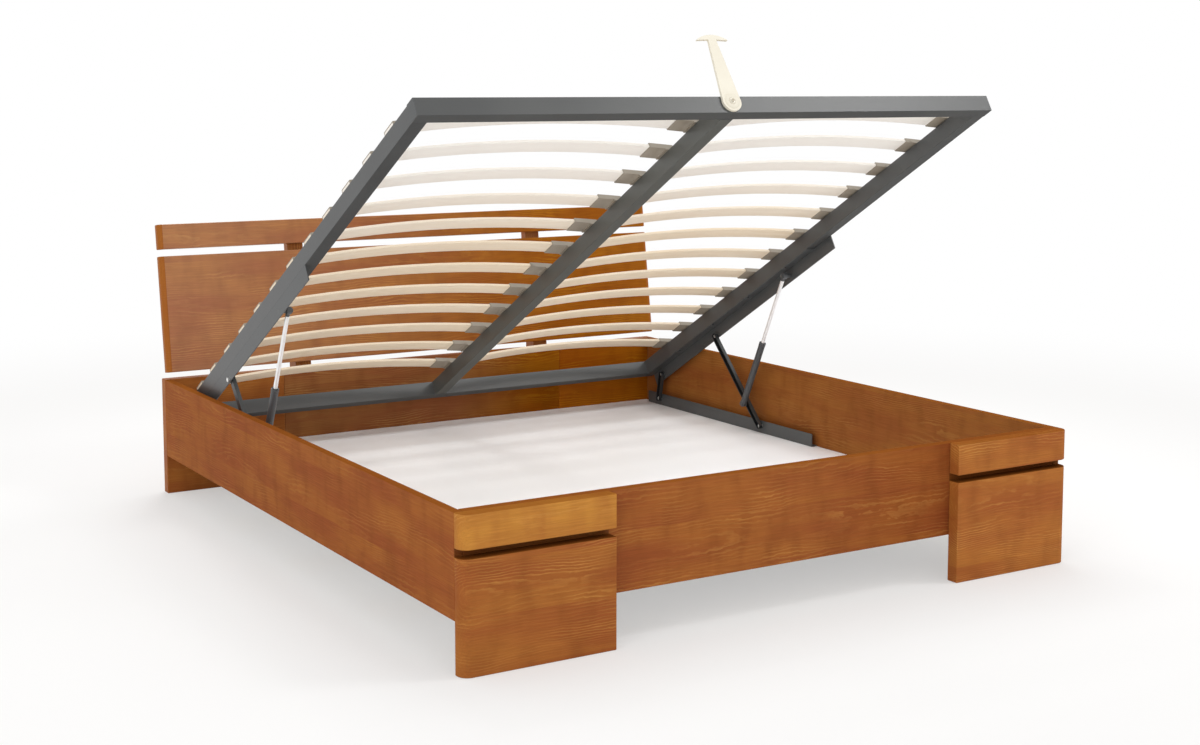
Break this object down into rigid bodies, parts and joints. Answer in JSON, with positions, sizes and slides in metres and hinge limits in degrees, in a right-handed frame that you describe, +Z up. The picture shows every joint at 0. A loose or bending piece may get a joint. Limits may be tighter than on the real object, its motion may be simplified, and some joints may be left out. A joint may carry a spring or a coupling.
{
  "type": "storage bed",
  "caption": "Wooden storage bed with a leaning headboard, an open box with a floor, and a slatted steel platform that lifts on links and gas struts.",
  "frame": {"origin": "on the floor, under the middle of the bed's overall length and width", "axes": "+X to the right seen from the foot, +Y towards the head end, +Z up"},
  "size_m": [1.86, 2.204, 1.4379],
  "materials": {
    "stained_pine": "satin lacquer",
    "bare_pine": "planed",
    "white_board": "white lacquer",
    "grey_steel": "satin powder coat",
    "zinc": "zinc plated",
    "bright_rod": "polished",
    "slat_birch": "smooth",
    "holder_plastic": "matte",
    "cap_plastic": "matte",
    "strap_plastic": "satin"
  },
  "bodies": {
    "bed_box": {"side_rail_left": "stained_pine", "side_rail_right": "stained_pine", "foot_rail": "stained_pine", "foot_upper_block_left": "stained_pine", "foot_upper_block_right": "stained_pine", "foot_leg_left": "stained_pine", "foot_leg_right": "stained_pine", "head_rail": "stained_pine", "head_leg_left": "stained_pine", "head_leg_right": "stained_pine", "headboard_panel": "stained_pine", "headboard_top_board": "stained_pine", "headboard_post_left": "stained_pine", "headboard_post_right": "stained_pine", "floor_ledger_left": "bare_pine", "floor_ledger_right": "bare_pine", "floor_ledger_foot": "bare_pine", "floor_ledger_head": "bare_pine", "floor_bearers": "bare_pine", "foot_corner_blocks": "bare_pine", "platform_rest_batten": "bare_pine", "head_dowels": "bare_pine", "lower_bar_left": "grey_steel", "lower_bar_right": "grey_steel", "head_bolts": "zinc", "foot_block_screws": "zinc", "headboard_screws": "zinc", "lower_bar_screws": "zinc", "lower_pivot_pins": "zinc", "storage_floor": "white_board"},
    "platform": {"side_beam_left": "grey_steel", "side_beam_right": "grey_steel", "foot_beam": "grey_steel", "head_beam": "grey_steel", "centre_beam": "grey_steel", "beam_end_caps": "cap_plastic", "upper_bracket_left": "grey_steel", "upper_bracket_right": "grey_steel", "bracket_bolts": "grey_steel", "upper_pivot_pins": "zinc", "strut_studs": "grey_steel", "slats_left": "slat_birch", "slats_right": "slat_birch", "slat_holders_outer": "holder_plastic", "slat_holders_centre": "holder_plastic", "strap_screw": "zinc", "strap_washer": "strap_plastic"},
    "pull_strap": {"pull_strap": "strap_plastic"},
    "rear_link_left": {"rear_link_left": "grey_steel"},
    "front_link_left": {"front_link_left": "grey_steel"},
    "strut_rod_left": {"strut_rod_left": "bright_rod"},
    "strut_cylinder_left": {"strut_cylinder_left": "grey_steel"},
    "rear_link_right": {"rear_link_right": "grey_steel"},
    "front_link_right": {"front_link_right": "grey_steel"},
    "strut_rod_right": {"strut_rod_right": "bright_rod"},
    "strut_cylinder_right": {"strut_cylinder_right": "grey_steel"}
  },
  "joints": [
    {"name": "platform_tilt", "type": "hinge", "parent": "rear_link_left", "child": "platform", "pos_m": [-0.88, 0.8442, 0.25471], "axis": [1, 0, 0], "range_deg": [0, 68.92]},
    {"name": "rear_link_swing_left", "type": "hinge", "parent": "bed_box", "child": "rear_link_left", "pos_m": [-0.88, 0.86125, 0.163], "axis": [1, 0, 0], "range_deg": [-39, 0], "stiffness_Nm_per_rad": 125, "springref_deg": 162.15},
    {"name": "front_link_swing_left", "type": "hinge", "parent": "bed_box", "child": "front_link_left", "pos_m": [-0.88, 0.24201, 0.163], "axis": [1, 0, 0], "range_deg": [-35.21, 0]},
    {"name": "strut_swing_left", "type": "hinge", "parent": "platform", "child": "strut_rod_left", "pos_m": [-0.858, 0.09, 0.68839], "axis": [1, 0, 0], "range_deg": [0, 22.55]},
    {"name": "strut_slide_left", "type": "slide", "parent": "strut_rod_left", "child": "strut_cylinder_left", "axis": [0, 0.4309, -0.9024], "range_m": [-0.19967, 0]},
    {"name": "rear_link_swing_right", "type": "hinge", "parent": "bed_box", "child": "rear_link_right", "pos_m": [0.88, 0.86125, 0.163], "axis": [1, 0, 0], "range_deg": [-39.02, 0]},
    {"name": "front_link_swing_right", "type": "hinge", "parent": "bed_box", "child": "front_link_right", "pos_m": [0.88, 0.24201, 0.163], "axis": [1, 0, 0], "range_deg": [-35.21, 0]},
    {"name": "strut_swing_right", "type": "hinge", "parent": "platform", "child": "strut_rod_right", "pos_m": [0.858, 0.09, 0.68839], "axis": [1, 0, 0], "range_deg": [0, 22.55]},
    {"name": "strut_slide_right", "type": "slide", "parent": "strut_rod_right", "child": "strut_cylinder_right", "axis": [0, 0.4309, -0.9024], "range_m": [-0.19967, 0]},
    {"name": "strap_swing", "type": "hinge", "parent": "platform", "child": "pull_strap", "pos_m": [0, -0.8015, 1.26447], "axis": [0, 0.8669, -0.4985], "range_deg": [-80, 80]}
  ],
  "couplings": [
    {"joint": "platform_tilt", "follows": "rear_link_swing_left", "ratio": -1.7667},
    {"joint": "front_link_swing_left", "follows": "rear_link_swing_left", "ratio": 0.9022},
    {"joint": "strut_swing_left", "follows": "rear_link_swing_left", "ratio": -0.57765},
    {"joint": "strut_slide_left", "follows": "rear_link_swing_left", "m_per_rad": 0.29319},
    {"joint": "rear_link_swing_right", "follows": "rear_link_swing_left", "ratio": 1},
    {"joint": "front_link_swing_right", "follows": "rear_link_swing_left", "ratio": 0.9022},
    {"joint": "strut_swing_right", "follows": "rear_link_swing_left", "ratio": -0.57765},
    {"joint": "strut_slide_right", "follows": "rear_link_swing_left", "m_per_rad": 0.29319}
  ]
}
